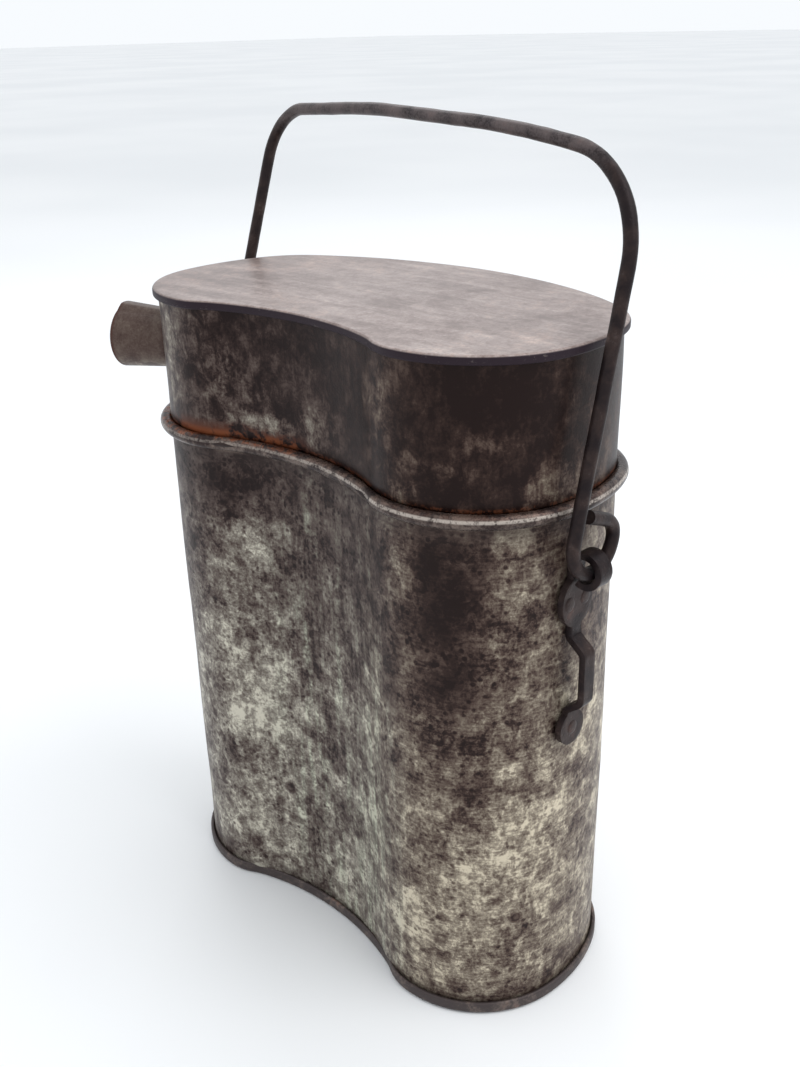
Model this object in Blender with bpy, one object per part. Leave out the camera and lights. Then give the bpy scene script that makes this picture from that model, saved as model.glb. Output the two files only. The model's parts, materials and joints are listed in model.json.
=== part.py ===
"""Kidney-shaped field kettle: a tinned sheet-iron pot, a deep lid with a stick socket, and a loose iron bail.

Metres, +Z up. The origin is on the underside of the base. X runs along the kettle's long side, the hollow
front faces -Y, and the stick socket is at the -X end.
"""

import math

import bmesh
import bpy
from mathutils import Vector

# Heights of the sheet-metal body
LID_HEIGHT = 0.240
RIM_HEIGHT = 0.1904
SHEET = 0.0009
GAP = 0.0003

# Kidney outline: arcs from the middle of the hollow front round to the middle of the back, as
# (radius, turn in degrees, segments). A negative turn is the hollow; the back arc closes the shape.
FRONT_Y = -0.0318
FRONT_ARCS = (
    (0.0868, -24.2, 6),
    (0.0378, 106.1, 14),
    (0.0606, 30.6, 5),
    (0.0335, 38.1, 6),
)
BACK_SEGMENTS = 7

# Wired rim of the pot
BEAD_RADIUS = 0.0024
BEAD_OFFSET = 0.0015
CURL_SHEET = 0.0008
CURL_END = -115.0
CURL_STEPS = 8
WIRE_SIDES = 6

# Seamed edges of the base and of the lid's top
PLATE = 0.0010
BASE_LIP = 0.0018
BASE_LIP_HEIGHT = 0.0046
TOP_LIP = 0.0018
TOP_LIP_HEIGHT = 0.0030
EDGE_ROUND = 0.0008
EDGE_STEPS = 2

# Neck of the lid, which plugs into the pot
NECK_DEPTH = 0.0120
NECK_INSET = 0.00125
SHOULDER_RISE = 0.0024

# Stick socket on the lid, along a radius of the left front corner
SOCKET_ANGLE = 202.0
SOCKET_HEIGHT = 0.2150
SOCKET_LENGTH = 0.0235
SOCKET_ROOT_RADIUS = 0.01025
SOCKET_MOUTH_RADIUS = 0.0118
SOCKET_SHEET = 0.0008
SOCKET_BURIED = 0.0060
SOCKET_SIDES = 36
LAP_FROM, LAP_TO = 75.0, 105.0

# Brackets, one forged strap at each end: riveted end, strap bar, riveted plate and curled eye
BRACKET_Y = -0.0055
BRACKET_GAP = 0.0003
STRAP = 0.0022
FOOT_HEIGHT, FOOT_RADIUS = 0.1130, 0.0062
PLATE_HEIGHT, PLATE_HALF_WIDTH, PLATE_HALF_HEIGHT = 0.1590, 0.0076, 0.0088
BAR_HALF_WIDTH = 0.0025
BAR_STANDOFF = 0.0056
BAR_LOW, BAR_HIGH = 0.1245, 0.1420
BAR_SLOPE = 0.0045
BAR_BEND_RADIUS = 0.0028
EYE_HEIGHT = 0.1710
EYE_RADIUS = 0.0050
EYE_HALF_WIDTH = 0.0030
EYE_END = -122.0
EYE_STEPS = 16
NECK_HEIGHT = 0.1670

# Rivets
RIVET_RADIUS = 0.0014
RIVET_HOLE = 0.0018
RIVET_HEAD = 0.0024
RIVET_HEAD_RISE = 0.0006
RIVET_INNER_HEAD = 0.0030
RIVET_INNER_RISE = 0.0012
RIVET_SIDES = 12
PLATE_RIVET_SPREAD = 0.0040

# Bail: a bent rod with an eye loop at each end, one opening to the front and one to the back
ROD_RADIUS = 0.0022
ARM_X = 0.0962
HINGE_Y, HINGE_Z = BRACKET_Y, 0.1805
LOOP_RADIUS = 0.0102
LOOP_ROUND_TO = 78.0
LOOP_STEPS = 14
LOOP_BEND, LOOP_BEND_STEPS = 0.0063, 6
LOOP_TURN = 303.0
LOOP_END_RADIUS = 0.0092
RIGHT_SHOULDER_Y, RIGHT_SHOULDER_Z, RIGHT_SHOULDER_BEND = 0.0114, 0.2866, 0.0330
LEFT_SHOULDER_Y, LEFT_SHOULDER_Z, LEFT_SHOULDER_BEND = 0.0446, 0.2929, 0.0180
CROWN, CROWN_BEND = 0.0052, 0.4500
CROWN_FROM, CROWN_TO = 0.33, 0.72
BEND_STEPS = 6


def clear_scene():
    for obj in list(bpy.data.objects):
        bpy.data.objects.remove(obj, do_unlink=True)


def material(name, colour, roughness, metallic):
    made = bpy.data.materials.new(name)
    made.use_nodes = True
    shader = made.node_tree.nodes["Principled BSDF"]
    shader.inputs["Base Color"].default_value = (*colour, 1.0)
    shader.inputs["Roughness"].default_value = roughness
    shader.inputs["Metallic"].default_value = metallic
    return made


def add_object(name, data, surface, place=(0.0, 0.0, 0.0)):
    obj = bpy.data.objects.new(name, data)
    obj.location = place
    data.materials.append(surface)
    bpy.context.scene.collection.objects.link(obj)
    return obj


def mesh_object(name, shape, surface, place=(0.0, 0.0, 0.0), smooth_below=30.0):
    """Turns a bmesh into an object, with its faces pointing outwards."""
    bmesh.ops.recalc_face_normals(shape, faces=shape.faces)
    mesh = bpy.data.meshes.new(name)
    shape.to_mesh(mesh)
    shape.free()
    mesh.shade_smooth()
    mesh.set_sharp_from_angle(angle=math.radians(smooth_below))
    return add_object(name, mesh, surface, place)


def cut(obj, cutter):
    """Takes a hidden cutter out of an object."""
    cutter.hide_render = True
    cutter.display_type = "WIRE"
    boolean = obj.modifiers.new("Cut " + cutter.name, "BOOLEAN")
    boolean.operation = "DIFFERENCE"
    boolean.object = cutter


def arc(centre, radius, start, end, steps):
    """Points on an arc in a plane, angles in degrees."""
    points = []
    for step in range(steps + 1):
        angle = math.radians(start + (end - start) * step / steps)
        points.append((centre[0] + radius * math.cos(angle), centre[1] + radius * math.sin(angle)))
    return points


def half_outline(offset):
    """The outline from the middle of the front to the middle of the back, on the +X side.

    It is a chain of tangent arcs. The offset moves it outwards without changing its number of points.
    """
    x, y, heading = 0.0, FRONT_Y - offset, 0.0
    points = [(x, y)]
    for radius, turn, segments in FRONT_ARCS:
        bend = math.copysign(radius, turn) + offset
        x, y = x - bend * math.sin(heading), y + bend * math.cos(heading)
        for segment in range(1, segments + 1):
            along = heading + math.radians(turn) * segment / segments
            points.append((x + bend * math.sin(along), y - bend * math.cos(along)))
        heading += math.radians(turn)
        x, y = points[-1]
    back_radius = x / math.sin(heading)
    centre_y = y + back_radius * math.cos(heading)
    for segment in range(1, BACK_SEGMENTS + 1):
        along = heading + (math.pi - heading) * segment / BACK_SEGMENTS
        points.append((back_radius * math.sin(along), centre_y - back_radius * math.cos(along)))
    return points


def outline(offset):
    """The closed kidney outline, counter-clockwise, with the first and last points of the half only once."""
    right = half_outline(offset)
    left = [(-x, y) for x, y in right[-2:0:-1]]
    return right + left


def side_wall_x():
    """The largest half-length of the body's outer face."""
    return max(x for x, _ in half_outline(0.0))


def corner_centre():
    """Centre of the left front corner's arc."""
    hollow, corner = FRONT_ARCS[0], FRONT_ARCS[1]
    turn = math.radians(hollow[1])
    reach = hollow[0] + corner[0]
    x = -reach * math.sin(turn)
    y = FRONT_Y - hollow[0] + reach * math.cos(turn)
    return -x, y


def loops_of(shape, section):
    """One loop of vertices round the outline for each (offset, height) of a section."""
    return [
        [shape.verts.new((x, y, height)) for x, y in outline(offset)] for offset, height in section
    ]


def bridge(shape, first, second):
    """Faces between two loops with as many vertices."""
    count = len(first)
    for i in range(count):
        after = (i + 1) % count
        shape.faces.new((first[i], first[after], second[after], second[i]))


def band(name, section, surface):
    """A wall that runs right round the outline, from its closed cross-section."""
    shape = bmesh.new()
    loops = loops_of(shape, section)
    for first, second in zip(loops, loops[1:] + loops[:1]):
        bridge(shape, first, second)
    return mesh_object(name, shape, surface)


def tray(name, section, surface):
    """A plate with a shaped edge: the section runs from one flat face to the other."""
    shape = bmesh.new()
    loops = loops_of(shape, section)
    for first, second in zip(loops, loops[1:]):
        bridge(shape, first, second)
    shape.faces.new(loops[0])
    shape.faces.new(loops[-1])
    return mesh_object(name, shape, surface)


def pot_wall(surface):
    """The pot's sheet, curled outwards round the rim wire and left open below the curl."""
    centre = (BEAD_OFFSET, RIM_HEIGHT)
    bottom = PLATE + GAP
    outer = arc(centre, BEAD_RADIUS, 180.0, CURL_END, CURL_STEPS)
    inner = arc(centre, BEAD_RADIUS - CURL_SHEET, CURL_END, 200.0, CURL_STEPS)
    root = RIM_HEIGHT - BEAD_RADIUS
    section = [(-SHEET, bottom), *outer, *inner, (0.0, root), (0.0, bottom)]
    return band("pot_wall", section, surface)


def rim_wire(surface):
    """The stiffening wire inside the pot's curl."""
    radius = BEAD_RADIUS - CURL_SHEET - GAP
    section = arc((BEAD_OFFSET, RIM_HEIGHT), radius, 0.0, 360.0, WIRE_SIDES)[:-1]
    return band("rim_wire", section, surface)


def pot_base(surface):
    """The base plate, with its seam standing up outside the pot's wall."""
    low = arc((BASE_LIP - EDGE_ROUND, EDGE_ROUND), EDGE_ROUND, -90.0, 0.0, EDGE_STEPS)
    high = arc((BASE_LIP - EDGE_ROUND, BASE_LIP_HEIGHT - EDGE_ROUND), EDGE_ROUND, 0.0, 90.0, EDGE_STEPS)
    section = [*low, *high, (GAP, BASE_LIP_HEIGHT), (GAP, PLATE)]
    return tray("pot_base", section, surface)


def lid_wall(surface):
    """The lid's sheet: flush with the pot above the rim, and set in below it to plug into the pot."""
    shoulder = RIM_HEIGHT + SHOULDER_RISE
    drop = SHOULDER_RISE - BEAD_RADIUS / 3
    top = LID_HEIGHT - PLATE - GAP
    foot = RIM_HEIGHT - NECK_DEPTH
    outside = [(0.0, top), (0.0, shoulder), (-NECK_INSET, shoulder - drop), (-NECK_INSET, foot)]
    inside = [(offset - SHEET, height) for offset, height in reversed(outside)]
    return band("lid_wall", outside + inside, surface)


def lid_top(surface):
    """The lid's top plate, with its seam turned down outside the lid's wall."""
    low = LID_HEIGHT - TOP_LIP_HEIGHT
    under = arc((TOP_LIP - EDGE_ROUND, low + EDGE_ROUND), EDGE_ROUND, -90.0, 0.0, EDGE_STEPS)
    over = arc((TOP_LIP - EDGE_ROUND, LID_HEIGHT - EDGE_ROUND), EDGE_ROUND, 0.0, 90.0, EDGE_STEPS)
    section = [(GAP, LID_HEIGHT - PLATE), (GAP, low), *under, *over]
    return tray("lid_top", section, surface)


def socket_ring(shape, distance, radius, lapped):
    """A ring of vertices across the socket's axis, raised by the sheet's thickness along the lap."""
    heading = math.radians(SOCKET_ANGLE)
    along = Vector((math.cos(heading), math.sin(heading), 0.0))
    across = Vector((-math.sin(heading), math.cos(heading), 0.0))
    centre = Vector((*corner_centre(), SOCKET_HEIGHT)) + along * distance
    ring = []
    for side in range(SOCKET_SIDES):
        degrees = 360.0 * side / SOCKET_SIDES
        turn = math.radians(degrees)
        reach = radius + (SOCKET_SHEET if lapped and LAP_FROM <= degrees <= LAP_TO else 0.0)
        spoke = across * math.cos(turn) + Vector((0.0, 0.0, math.sin(turn)))
        ring.append(shape.verts.new(centre + reach * spoke))
    return ring


def lid_socket(surface):
    """The stick socket: a tapered tube of rolled sheet, its end trimmed to the lid's wall."""
    root = FRONT_ARCS[1][0]
    start, end = root - SOCKET_BURIED, root + SOCKET_LENGTH
    taper = (SOCKET_MOUTH_RADIUS - SOCKET_ROOT_RADIUS) / SOCKET_LENGTH
    start_radius = SOCKET_ROOT_RADIUS - taper * SOCKET_BURIED
    shape = bmesh.new()
    rings = [
        socket_ring(shape, start, start_radius, True),
        socket_ring(shape, end, SOCKET_MOUTH_RADIUS, True),
        socket_ring(shape, end, SOCKET_MOUTH_RADIUS - SOCKET_SHEET, False),
        socket_ring(shape, start, start_radius - SOCKET_SHEET, False),
    ]
    for first, second in zip(rings, rings[1:] + rings[:1]):
        bridge(shape, first, second)
    socket = mesh_object("lid_socket", shape, surface)
    reach = 2 * SOCKET_MOUTH_RADIUS
    section = [(GAP, SOCKET_HEIGHT - reach), (GAP, SOCKET_HEIGHT + reach)]
    cut(socket, tray("lid_body_cutter", section, surface))
    return socket


def rounded_path(corners, bends, steps):
    """A path through its corners, each inner corner rounded by an arc of its bend radius."""
    path = [Vector(corners[0])]
    for before, corner, after, bend in zip(corners, corners[1:], corners[2:], bends):
        corner = Vector(corner)
        back = (Vector(before) - corner).normalized()
        on = (Vector(after) - corner).normalized()
        angle = back.angle(on)
        centre = corner + (back + on).normalized() * bend / math.sin(angle / 2)
        first = corner + back * bend / math.tan(angle / 2) - centre
        last = corner + on * bend / math.tan(angle / 2) - centre
        for step in range(steps + 1):
            path.append(centre + bend * first.slerp(last, step / steps))
    path.append(Vector(corners[-1]))
    return path


def strap_half_width(height):
    """Half the bracket's width at a height: a round foot, a narrow bar, an oval plate and the eye's neck."""
    foot = FOOT_RADIUS**2 - (height - FOOT_HEIGHT) ** 2
    plate = 1.0 - ((height - PLATE_HEIGHT) / PLATE_HALF_HEIGHT) ** 2
    width = EYE_HALF_WIDTH if height > NECK_HEIGHT - PLATE_HALF_HEIGHT / 2 else BAR_HALF_WIDTH
    if height < BAR_LOW and foot > 0:
        width = math.sqrt(foot) if height < FOOT_HEIGHT else max(width, math.sqrt(foot))
    if plate > 0:
        width = max(width, PLATE_HALF_WIDTH * math.sqrt(plate))
    return width


def bracket_path():
    """(outwards, up, half-width) along the middle of the strap, from its foot to the end of the eye."""
    flat = side_wall_x() + BRACKET_GAP + STRAP / 2
    out = flat + BAR_STANDOFF
    stations = []
    for step in range(9):
        rise = -math.cos(math.radians(20 + 15 * step)) * FOOT_RADIUS
        stations.append((flat, FOOT_HEIGHT + rise))
    bar = rounded_path(
        [
            (flat, BAR_LOW - 1.4 * BAR_SLOPE, 0.0),
            (flat, BAR_LOW - BAR_SLOPE, 0.0),
            (out, BAR_LOW, 0.0),
            (out, BAR_HIGH, 0.0),
            (flat, BAR_HIGH + BAR_SLOPE, 0.0),
            (flat, BAR_HIGH + 1.6 * BAR_SLOPE, 0.0),
        ],
        [0.2 * BAR_BEND_RADIUS, BAR_BEND_RADIUS, BAR_BEND_RADIUS, 0.3 * BAR_BEND_RADIUS],
        4,
    )
    stations += [(point.x, point.y) for point in bar]
    for step in range(1, 12):
        rise = -math.cos(math.radians(15 * step)) * PLATE_HALF_HEIGHT
        stations.append((flat, PLATE_HEIGHT + rise))
    stations += arc((flat + EYE_RADIUS, EYE_HEIGHT), EYE_RADIUS, 180.0, EYE_END, EYE_STEPS)
    path = []
    for index, (x, z) in enumerate(stations):
        in_eye = index >= len(stations) - EYE_STEPS - 1
        path.append((x, z, EYE_HALF_WIDTH if in_eye else strap_half_width(z)))
    return path


def bracket(name, side, surface):
    """A forged bracket on the +X (side 1) or -X (side -1) end, as one bent strap with rivet holes."""
    path = bracket_path()
    shape = bmesh.new()
    rings = []
    for index, (x, z, half_width) in enumerate(path):
        before, after = path[max(index - 1, 0)], path[min(index + 1, len(path) - 1)]
        tangent = Vector((after[0] - before[0], after[1] - before[1])).normalized()
        normal = Vector((tangent.y, -tangent.x)) * STRAP / 2
        ring = []
        for face, edge in ((1, -1), (1, 1), (-1, 1), (-1, -1)):
            place = (side * (x + face * normal.x), BRACKET_Y + edge * half_width, z + face * normal.y)
            ring.append(shape.verts.new(place))
        rings.append(ring)
    for first, second in zip(rings, rings[1:]):
        bridge(shape, first, second)
    shape.faces.new(rings[0])
    shape.faces.new(rings[-1])
    return mesh_object(name, shape, surface)


def rivet_places():
    """(name, y, height) of each rivet of one bracket."""
    return (
        ("plate_rivet_front", BRACKET_Y - PLATE_RIVET_SPREAD, PLATE_HEIGHT),
        ("plate_rivet_back", BRACKET_Y + PLATE_RIVET_SPREAD, PLATE_HEIGHT),
        ("foot_rivet", BRACKET_Y, FOOT_HEIGHT),
    )


def turned(name, profile, side, y, height, surface):
    """A piece turned about an axis along X, from its (x, radius) profile; side -1 mirrors it."""
    shape = bmesh.new()
    rings = []
    for x, radius in profile:
        ring = []
        for point in arc((y, height), radius, 0.0, 360.0, RIVET_SIDES)[:-1]:
            ring.append(shape.verts.new((side * x, *point)))
        rings.append(ring)
    for first, second in zip(rings, rings[1:]):
        bridge(shape, first, second)
    shape.faces.new(rings[0])
    shape.faces.new(rings[-1])
    return mesh_object(name, shape, surface)


def rivet(name, side, y, height, surface):
    """A rivet through bracket and wall, with a low head outside and a domed head in the pot."""
    wall = side_wall_x()
    head = wall + BRACKET_GAP + STRAP + GAP
    inside = min(x for x, near in half_outline(-SHEET) if x > 0.95 * wall and abs(near - y) < 0.008) - GAP
    profile = [
        (inside - RIVET_INNER_RISE, RIVET_INNER_HEAD * 0.6),
        (inside - RIVET_INNER_RISE / 2, RIVET_INNER_HEAD * 0.9),
        (inside, RIVET_INNER_HEAD),
        (inside, RIVET_RADIUS),
        (head, RIVET_RADIUS),
        (head, RIVET_HEAD),
        (head + RIVET_HEAD_RISE, RIVET_HEAD * 0.7),
    ]
    return turned(name, profile, side, y, height, surface)


def riveted_bracket(label, side, wall, iron, rivet_iron):
    """A bracket with its rivets, and the holes they need in the bracket and in the pot's wall."""
    made = bracket(label + "_bracket", side, iron)
    reach = side_wall_x()
    for name, y, height in rivet_places():
        rivet(f"{label}_{name}", side, y, height, rivet_iron)
        profile = [(0.9 * reach, RIVET_HOLE), (1.1 * reach, RIVET_HOLE)]
        drill = turned(f"{label}_{name}_drill", profile, side, y, height, iron)
        cut(made, drill)
        cut(wall, drill)
    return made


def loop_points(shoulder, turning):
    """The rod's eye loop, from where the arm meets it to its free end, in the plane of the arm.

    The arm is the tangent from the shoulder to the circle, on the front for turning 1 and on the back for -1.
    The loop is round about the hinge, bends in more tightly and then runs straight back to the arm.
    """
    def place(radius, angle, y=HINGE_Y, z=HINGE_Z):
        return Vector((shoulder[0], y + radius * math.cos(angle), z + radius * math.sin(angle)))

    away = Vector((shoulder[1] - HINGE_Y, shoulder[2] - HINGE_Z))
    start = math.atan2(away.y, away.x) + turning * math.acos(LOOP_RADIUS / away.length)
    round_to = turning * math.radians(LOOP_ROUND_TO) - math.pi / 2
    sweep = turning * ((turning * (round_to - start)) % (2 * math.pi))
    points = [place(LOOP_RADIUS, start + sweep * step / LOOP_STEPS) for step in range(LOOP_STEPS + 1)]
    end = place(LOOP_END_RADIUS, start + turning * math.radians(LOOP_TURN))
    hub = place(LOOP_RADIUS - LOOP_BEND, round_to)
    ahead = Vector((end.y - hub.y, end.z - hub.z))
    leave = math.atan2(ahead.y, ahead.x) - turning * math.acos(LOOP_BEND / ahead.length)
    turn = turning * ((turning * (leave - round_to)) % (2 * math.pi))
    for step in range(1, LOOP_BEND_STEPS + 1):
        points.append(place(LOOP_BEND, round_to + turn * step / LOOP_BEND_STEPS, hub.y, hub.z))
    return points + [end]


def bail(surface):
    """The bail's rod, sprung a little askew, with its origin on the hinge axis."""
    right = Vector((ARM_X, RIGHT_SHOULDER_Y, RIGHT_SHOULDER_Z))
    left = Vector((-ARM_X, LEFT_SHOULDER_Y, LEFT_SHOULDER_Z))
    raised = Vector((0.0, 0.0, CROWN))
    right_loop = loop_points(right, 1)
    left_loop = loop_points(left, -1)
    corners = [
        left_loop[0],
        left,
        left.lerp(right, CROWN_FROM) + raised,
        left.lerp(right, CROWN_TO) + raised,
        right,
        right_loop[0],
    ]
    bends = [LEFT_SHOULDER_BEND, CROWN_BEND, CROWN_BEND, RIGHT_SHOULDER_BEND]
    path = left_loop[:0:-1] + rounded_path(corners, bends, BEND_STEPS) + right_loop[1:]
    hinge = Vector((0.0, HINGE_Y, HINGE_Z))
    curve = bpy.data.curves.new("bail", "CURVE")
    curve.dimensions = "3D"
    curve.bevel_depth = ROD_RADIUS
    curve.bevel_resolution = 2
    curve.use_fill_caps = True
    spline = curve.splines.new("POLY")
    spline.points.add(len(path) - 1)
    for point, place in zip(spline.points, path):
        point.co = (*(place - hinge), 1.0)
    spline.use_smooth = True
    return add_object("bail", curve, surface, hinge)


def main():
    clear_scene()
    tin = material("worn_tin", (0.30, 0.27, 0.22), 0.50, 0.70)
    dark_sheet = material("blackened_tin", (0.07, 0.05, 0.05), 0.45, 0.60)
    top_sheet = material("bare_top_sheet", (0.32, 0.27, 0.25), 0.50, 0.60)
    seam = material("browned_seam", (0.12, 0.08, 0.07), 0.50, 0.60)
    rod_iron = material("rod_iron", (0.09, 0.07, 0.07), 0.40, 0.80)
    forged = material("forged_iron", (0.08, 0.06, 0.06), 0.50, 0.80)
    rivet_iron = material("rivet_iron", (0.14, 0.11, 0.10), 0.50, 0.80)
    wire = material("rim_wire_iron", (0.20, 0.16, 0.14), 0.50, 0.80)
    wall = pot_wall(tin)
    rim_wire(wire)
    pot_base(seam)
    lid_wall(dark_sheet)
    lid_top(top_sheet)
    lid_socket(dark_sheet)
    riveted_bracket("right", 1, wall, forged, rivet_iron)
    riveted_bracket("left", -1, wall, forged, rivet_iron)
    bail(rod_iron)


if __name__ == "__main__":
    main()
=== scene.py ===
"""Looks of the kidney-shaped field canteen: worn tinned sheet, wired rim, socket, bail and brackets."""

import json
import math

import bmesh
import bpy
from mathutils import Matrix, Vector, noise


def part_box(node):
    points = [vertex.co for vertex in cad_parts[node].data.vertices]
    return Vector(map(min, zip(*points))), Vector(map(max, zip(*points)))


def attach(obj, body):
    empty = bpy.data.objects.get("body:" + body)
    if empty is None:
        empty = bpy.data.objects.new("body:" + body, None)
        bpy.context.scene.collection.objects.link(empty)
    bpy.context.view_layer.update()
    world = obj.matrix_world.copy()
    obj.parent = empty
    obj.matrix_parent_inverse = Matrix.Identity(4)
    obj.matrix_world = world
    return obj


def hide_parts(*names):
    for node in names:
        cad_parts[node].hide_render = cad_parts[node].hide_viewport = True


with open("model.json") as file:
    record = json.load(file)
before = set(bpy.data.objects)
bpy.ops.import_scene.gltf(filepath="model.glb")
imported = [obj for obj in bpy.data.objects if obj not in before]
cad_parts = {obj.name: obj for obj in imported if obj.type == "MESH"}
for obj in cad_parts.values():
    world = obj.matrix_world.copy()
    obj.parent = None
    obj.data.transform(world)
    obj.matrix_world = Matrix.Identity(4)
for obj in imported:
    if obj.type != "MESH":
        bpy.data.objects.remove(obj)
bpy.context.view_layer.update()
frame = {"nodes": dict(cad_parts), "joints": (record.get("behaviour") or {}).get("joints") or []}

bl_info = {
    "name": "Field Canteen",
    "version": (1, 0, 0),
    "blender": (4, 5, 0),
    "location": "View3D > Sidebar > Canteen",
    "description": "Builds a worn field canteen with its lid, bail and brackets",
    "category": "Add Mesh",
}

HINGE = next(Vector(joint["pos_m"]) for joint in frame["joints"] if joint["name"] == "bail_swing")

# Kidney outline: tangent arcs from the middle of the hollow front to the middle of the back, as
# (radius, turn in degrees, segments). A negative turn is the hollow, and the back arc closes the shape.
FRONT_Y = -0.0318
FRONT_ARCS = (
    (0.0868, -24.2, 20),
    (0.0378, 106.1, 52),
    (0.0606, 30.6, 20),
    (0.0335, 38.1, 20),
)
BACK_SEGMENTS = 32

LID_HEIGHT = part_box("lid_top")[1].z
RIM_LOW, RIM_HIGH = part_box("rim_wire")[0].z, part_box("rim_wire")[1].z
RIM_HEIGHT = (RIM_LOW + RIM_HIGH) / 2
PLATE = 0.0010
GAP = 0.0003
BEAD_OFFSET = 0.0015
LIP_OFFSET = 0.0018
SLEEVE_RINGS = 34
END_ROWS, END_INSET = 30, 0.0040

SOCKET_ANGLE = math.radians(202.0)
SOCKET_HEIGHT = 0.2150
SOCKET_LENGTH = 0.0235
SOCKET_ROOT, SOCKET_MOUTH = 0.01025, 0.0118
SOCKET_SHEET = 0.0008
LAP_ANGLE = math.radians(78.0)
SOCKET_COLUMNS, SOCKET_ROWS, SOCKET_LAP = 120, 12, 10
SOLDER_POINTS, SOLDER_RADIUS = 96, 0.0007

BRACKET_Y = HINGE.y
FLAT_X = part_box("right_bracket")[0].x
EYE_HEIGHT = 0.1710
EYE_RADIUS = 0.0050
EYE_END = -122.0
FOOT_HEIGHT, FOOT_RADIUS = 0.1130, 0.0062
PLATE_HEIGHT, PLATE_HALF_WIDTH, PLATE_HALF_HEIGHT = 0.1590, 0.0076, 0.0088
BAR_LOW, BAR_HIGH, BAR_SLOPE, BAR_STANDOFF = 0.1245, 0.1420, 0.0045, 0.0056
BAR_HALF_WIDTH = 0.0026
BAR_BENDS = (0.0006, 0.0028, 0.0028, 0.0009)
EYE_HALF_WIDTH = 0.0030
HEAD_FILED = 0.0005
STRAP_COLUMNS = 7
STRAP_EDGE = 0.00055

ARM_X = 0.0962
LOOP_RADIUS = 0.0102
LOOP_ROUND_TO = math.radians(78.0)
LOOP_STEPS = 44
LOOP_BEND, LOOP_BEND_STEPS = 0.0063, 18
LOOP_TURN, LOOP_END_RADIUS = math.radians(303.0), 0.0092
RIGHT_SHOULDER = Vector((ARM_X, 0.0114, 0.2866))
LEFT_SHOULDER = Vector((-ARM_X, 0.0446, 0.2929))
RIGHT_BEND, LEFT_BEND, CROWN_BEND = 0.0330, 0.0180, 0.4500
CROWN, CROWN_FROM, CROWN_TO = 0.0052, 0.33, 0.72

MM = 0.001

FLOOR_SIZE, FLOOR_DROP = 60.0, 0.0002
CAMERA_PLACE = (0.2731, -0.2665, 0.3222)
CAMERA_TURN, CAMERA_TILT, CAMERA_ROLL = math.radians(44.65), math.radians(66.06), math.radians(-1.40)

# Broad tone of the front, as (x, z, half-width, half-height, strength) in millimetres.
# A strength above 0 keeps the tin, and one below 0 wears it away.
FRONT_PATCH_Y, FRONT_PATCH_DEPTH = -35.0, 55.0
POT_PATCHES = (
    (-30.0, 157.0, 15.0, 14.0, 0.24),
    (-62.0, 160.0, 15.0, 40.0, -0.12),
    (-38.0, 178.0, 52.0, 20.0, -0.22),
    (-6.0, 142.0, 18.0, 20.0, -0.10),
    (-16.0, 122.0, 12.0, 8.0, 0.12),
    (-28.0, 88.0, 26.0, 26.0, 0.20),
    (-48.0, 58.0, 18.0, 12.0, -0.06),
    (-74.0, 100.0, 12.0, 60.0, -0.12),
    (-28.0, 30.0, 34.0, 20.0, 0.08),
    (22.0, 158.0, 26.0, 36.0, -0.16),
    (45.0, 132.0, 7.0, 30.0, -0.24),
    (20.0, 60.0, 20.0, 60.0, 0.05),
    (53.0, 172.0, 7.0, 13.0, 0.26),
    (64.0, 160.0, 18.0, 38.0, -0.26),
    (82.0, 156.0, 8.0, 32.0, 0.14),
    (69.0, 130.0, 13.0, 14.0, -0.16),
    (75.0, 94.0, 18.0, 8.0, -0.22),
    (84.0, 66.0, 11.0, 24.0, 0.18),
    (62.0, 40.0, 24.0, 34.0, 0.08),
    (70.0, 6.0, 44.0, 12.0, -0.16),
)
LID_PATCHES = (
    (-61.0, 220.0, 7.0, 24.0, 0.42),
    (-75.0, 220.0, 6.0, 24.0, 0.20),
    (-36.0, 214.0, 6.0, 14.0, 0.12),
    (-30.0, 226.0, 20.0, 14.0, -0.04),
    (-20.0, 199.5, 17.0, 5.0, 0.46),
    (2.0, 203.0, 8.0, 11.0, 0.24),
    (42.0, 220.0, 9.0, 22.0, 0.14),
    (52.0, 192.0, 6.0, 9.0, 0.40),
    (68.0, 224.0, 16.0, 14.0, -0.04),
    (78.0, 214.0, 10.0, 6.0, 0.16),
    (62.0, 206.0, 18.0, 6.0, 0.14),
    (88.0, 196.0, 5.0, 14.0, 0.34),
)

TOP_TONES = (
    (0.0, (0.110, 0.075, 0.065)),
    (0.3, (0.190, 0.142, 0.128)),
    (0.5, (0.280, 0.222, 0.205)),
    (0.7, (0.370, 0.310, 0.290)),
    (1.0, (0.580, 0.520, 0.490)),
)

# Colour of worn tinned iron from bare oxide to bright tin.
TIN_TONES = (
    (0.00, (0.0115, 0.0054, 0.0050)),
    (0.15, (0.0280, 0.0160, 0.0140)),
    (0.33, (0.0740, 0.0520, 0.0450)),
    (0.50, (0.1300, 0.1080, 0.0900)),
    (0.67, (0.2150, 0.1930, 0.1620)),
    (0.83, (0.3400, 0.3160, 0.2620)),
    (1.00, (0.5600, 0.5320, 0.4400)),
)


# ---------------------------------------------------------------- settings


def length(name, description, default):
    return bpy.props.FloatProperty(name=name, description=description, default=default, unit="LENGTH")


def colour(name, description, default):
    return bpy.props.FloatVectorProperty(
        name=name, description=description, default=default, subtype="COLOR", min=0.0, max=1.0
    )


class CanteenSheetSettings(bpy.types.PropertyGroup):
    sheet: length("Sheet", "Thickness of the sheet metal", 0.0009)
    bead: length("Bead", "Radius of the wired rim", 0.0024)
    neck: length("Neck", "Depth of the lid's neck in the pot", 0.0120)
    inset: length("Inset", "How far the lid's neck stands in from the wall", 0.00125)
    unevenness: length("Unevenness", "How far the hand-worked sheet wanders in and out", 0.00045)


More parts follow.
